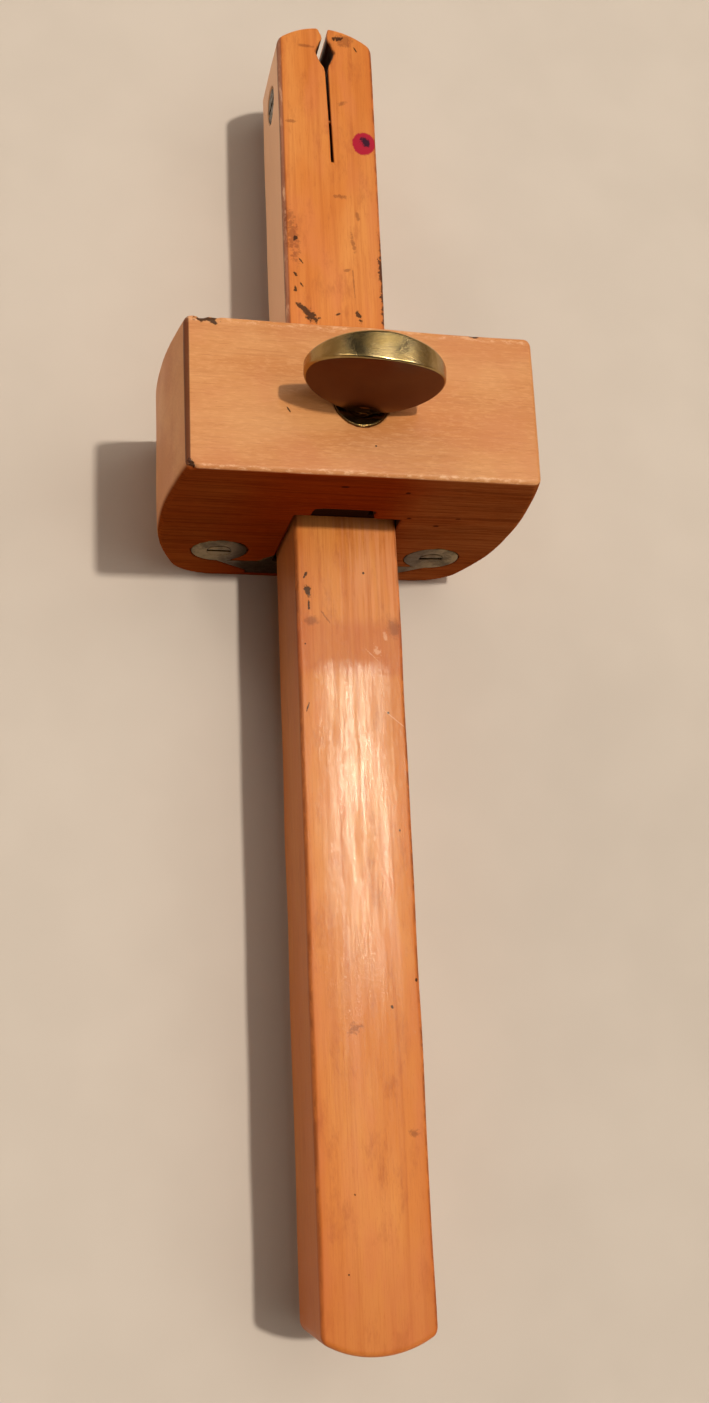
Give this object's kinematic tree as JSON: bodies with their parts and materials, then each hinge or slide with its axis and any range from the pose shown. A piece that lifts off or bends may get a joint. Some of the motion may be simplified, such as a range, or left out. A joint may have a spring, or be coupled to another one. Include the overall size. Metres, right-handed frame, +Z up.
{
  "type": "marking gauge",
  "caption": "Beech pencil and marking gauge: square stem with a split pencil end, bow-sided sliding stock locked by a brass thumb screw.",
  "frame": {"origin": "middle of the stem's length, under the middle of the stock, level with the foot of the stock", "axes": "+X across the stock, +Y along the stem towards the split pencil end, +Z up to the thumb screw"},
  "size_m": [0.0658, 0.2464, 0.0694],
  "materials": {
    "stem_beech": "old varnished beech, orange, grain along the stem",
    "stock_beech": "old varnished beech, fine flecks, grain across the stock",
    "shoe_wood": "plain unvarnished hardwood",
    "plate_brass": "flat dull brass, tarnished",
    "screw_brass": "cast brass, tarnished, rubbed bright on the rim",
    "steel": "dull darkened steel"
  },
  "bodies": {
    "beam": {"stem": "stem_beech", "marking_pin": "steel"},
    "fence": {"stock": "stock_beech", "face_plate": "plate_brass", "plate_screw_left": "plate_brass", "plate_screw_right": "plate_brass", "threaded_bush": "screw_brass"},
    "shoe": {"pressure_shoe": "shoe_wood"},
    "locking_screw": {"thumb_screw": "screw_brass"},
    "clamp_screw": {"pencil_clamp_screw": "steel"}
  },
  "joints": [
    {"name": "fence_slide", "type": "slide", "parent": "beam", "child": "fence", "axis": [0, 1, 0], "range_m": [-0.125, 0.065]},
    {"name": "shoe_lift", "type": "slide", "parent": "fence", "child": "shoe", "axis": [0, 0, 1], "range_m": [0, 0.00254]},
    {"name": "thumb_turn", "type": "hinge", "parent": "shoe", "child": "locking_screw", "pos_m": [-0.0006, 0.0303, 0.05], "axis": [0, 0, 1], "range_deg": [0, 720]},
    {"name": "clamp_turn", "type": "hinge", "parent": "beam", "child": "clamp_screw", "pos_m": [-0.004, 0.11085, 0.0178], "axis": [1, 0, 0], "range_deg": [-360, 180]}
  ],
  "couplings": [
    {"joint": "thumb_turn", "follows": "shoe_lift", "rad_per_m": 4947.3}
  ]
}
